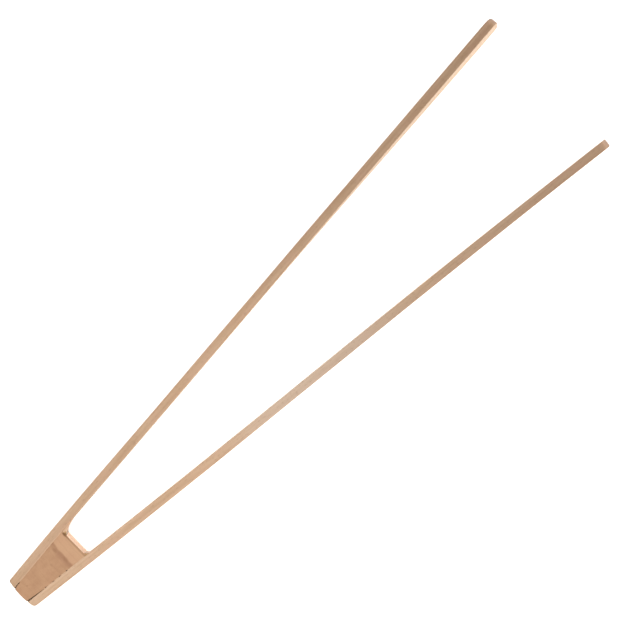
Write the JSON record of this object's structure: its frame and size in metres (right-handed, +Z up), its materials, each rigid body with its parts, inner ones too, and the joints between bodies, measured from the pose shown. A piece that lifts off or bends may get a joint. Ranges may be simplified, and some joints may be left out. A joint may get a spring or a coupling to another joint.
{
  "type": "spring loaded kitchen tongs",
  "caption": "Wooden kitchen tongs: two long springy strips glued to the sides of a wedge at one end, squeezed together to grip food at the tips.",
  "frame": {"origin": "middle of the overall box at its bottom, halfway between the base end and the tips, on the centre line between the arms", "axes": "+X from the glued base end to the tips, +Y to the left arm, +Z up across the width of the strips, as the tongs lie on their side edges"},
  "size_m": [0.2988, 0.0714, 0.018],
  "materials": {
    "arm_wood": "plain sanded beech, no varnish, grain along the strip",
    "wedge_wood": "plain sanded beech, end grain on the side faces",
    "glue": "dried wood glue, amber and slightly glossy"
  },
  "bodies": {
    "base": {"wedge": "wedge_wood", "left_glue_line": "glue", "right_glue_line": "glue", "left_arm_root": "arm_wood", "right_arm_root": "arm_wood"},
    "left_arm": {"left_arm_blade": "arm_wood"},
    "right_arm": {"right_arm_blade": "arm_wood"}
  },
  "joints": [
    {"name": "left_arm_flex", "type": "hinge", "parent": "base", "child": "left_arm", "pos_m": [-0.07959, 0.0125, 0.009], "axis": [0, 0, -1], "range_deg": [0, 7.85], "stiffness_Nm_per_rad": 8.2},
    {"name": "right_arm_flex", "type": "hinge", "parent": "base", "child": "right_arm", "pos_m": [-0.07959, -0.0125, 0.009], "axis": [0, 0, 1], "range_deg": [0, 7.85], "stiffness_Nm_per_rad": 8.2}
  ]
}
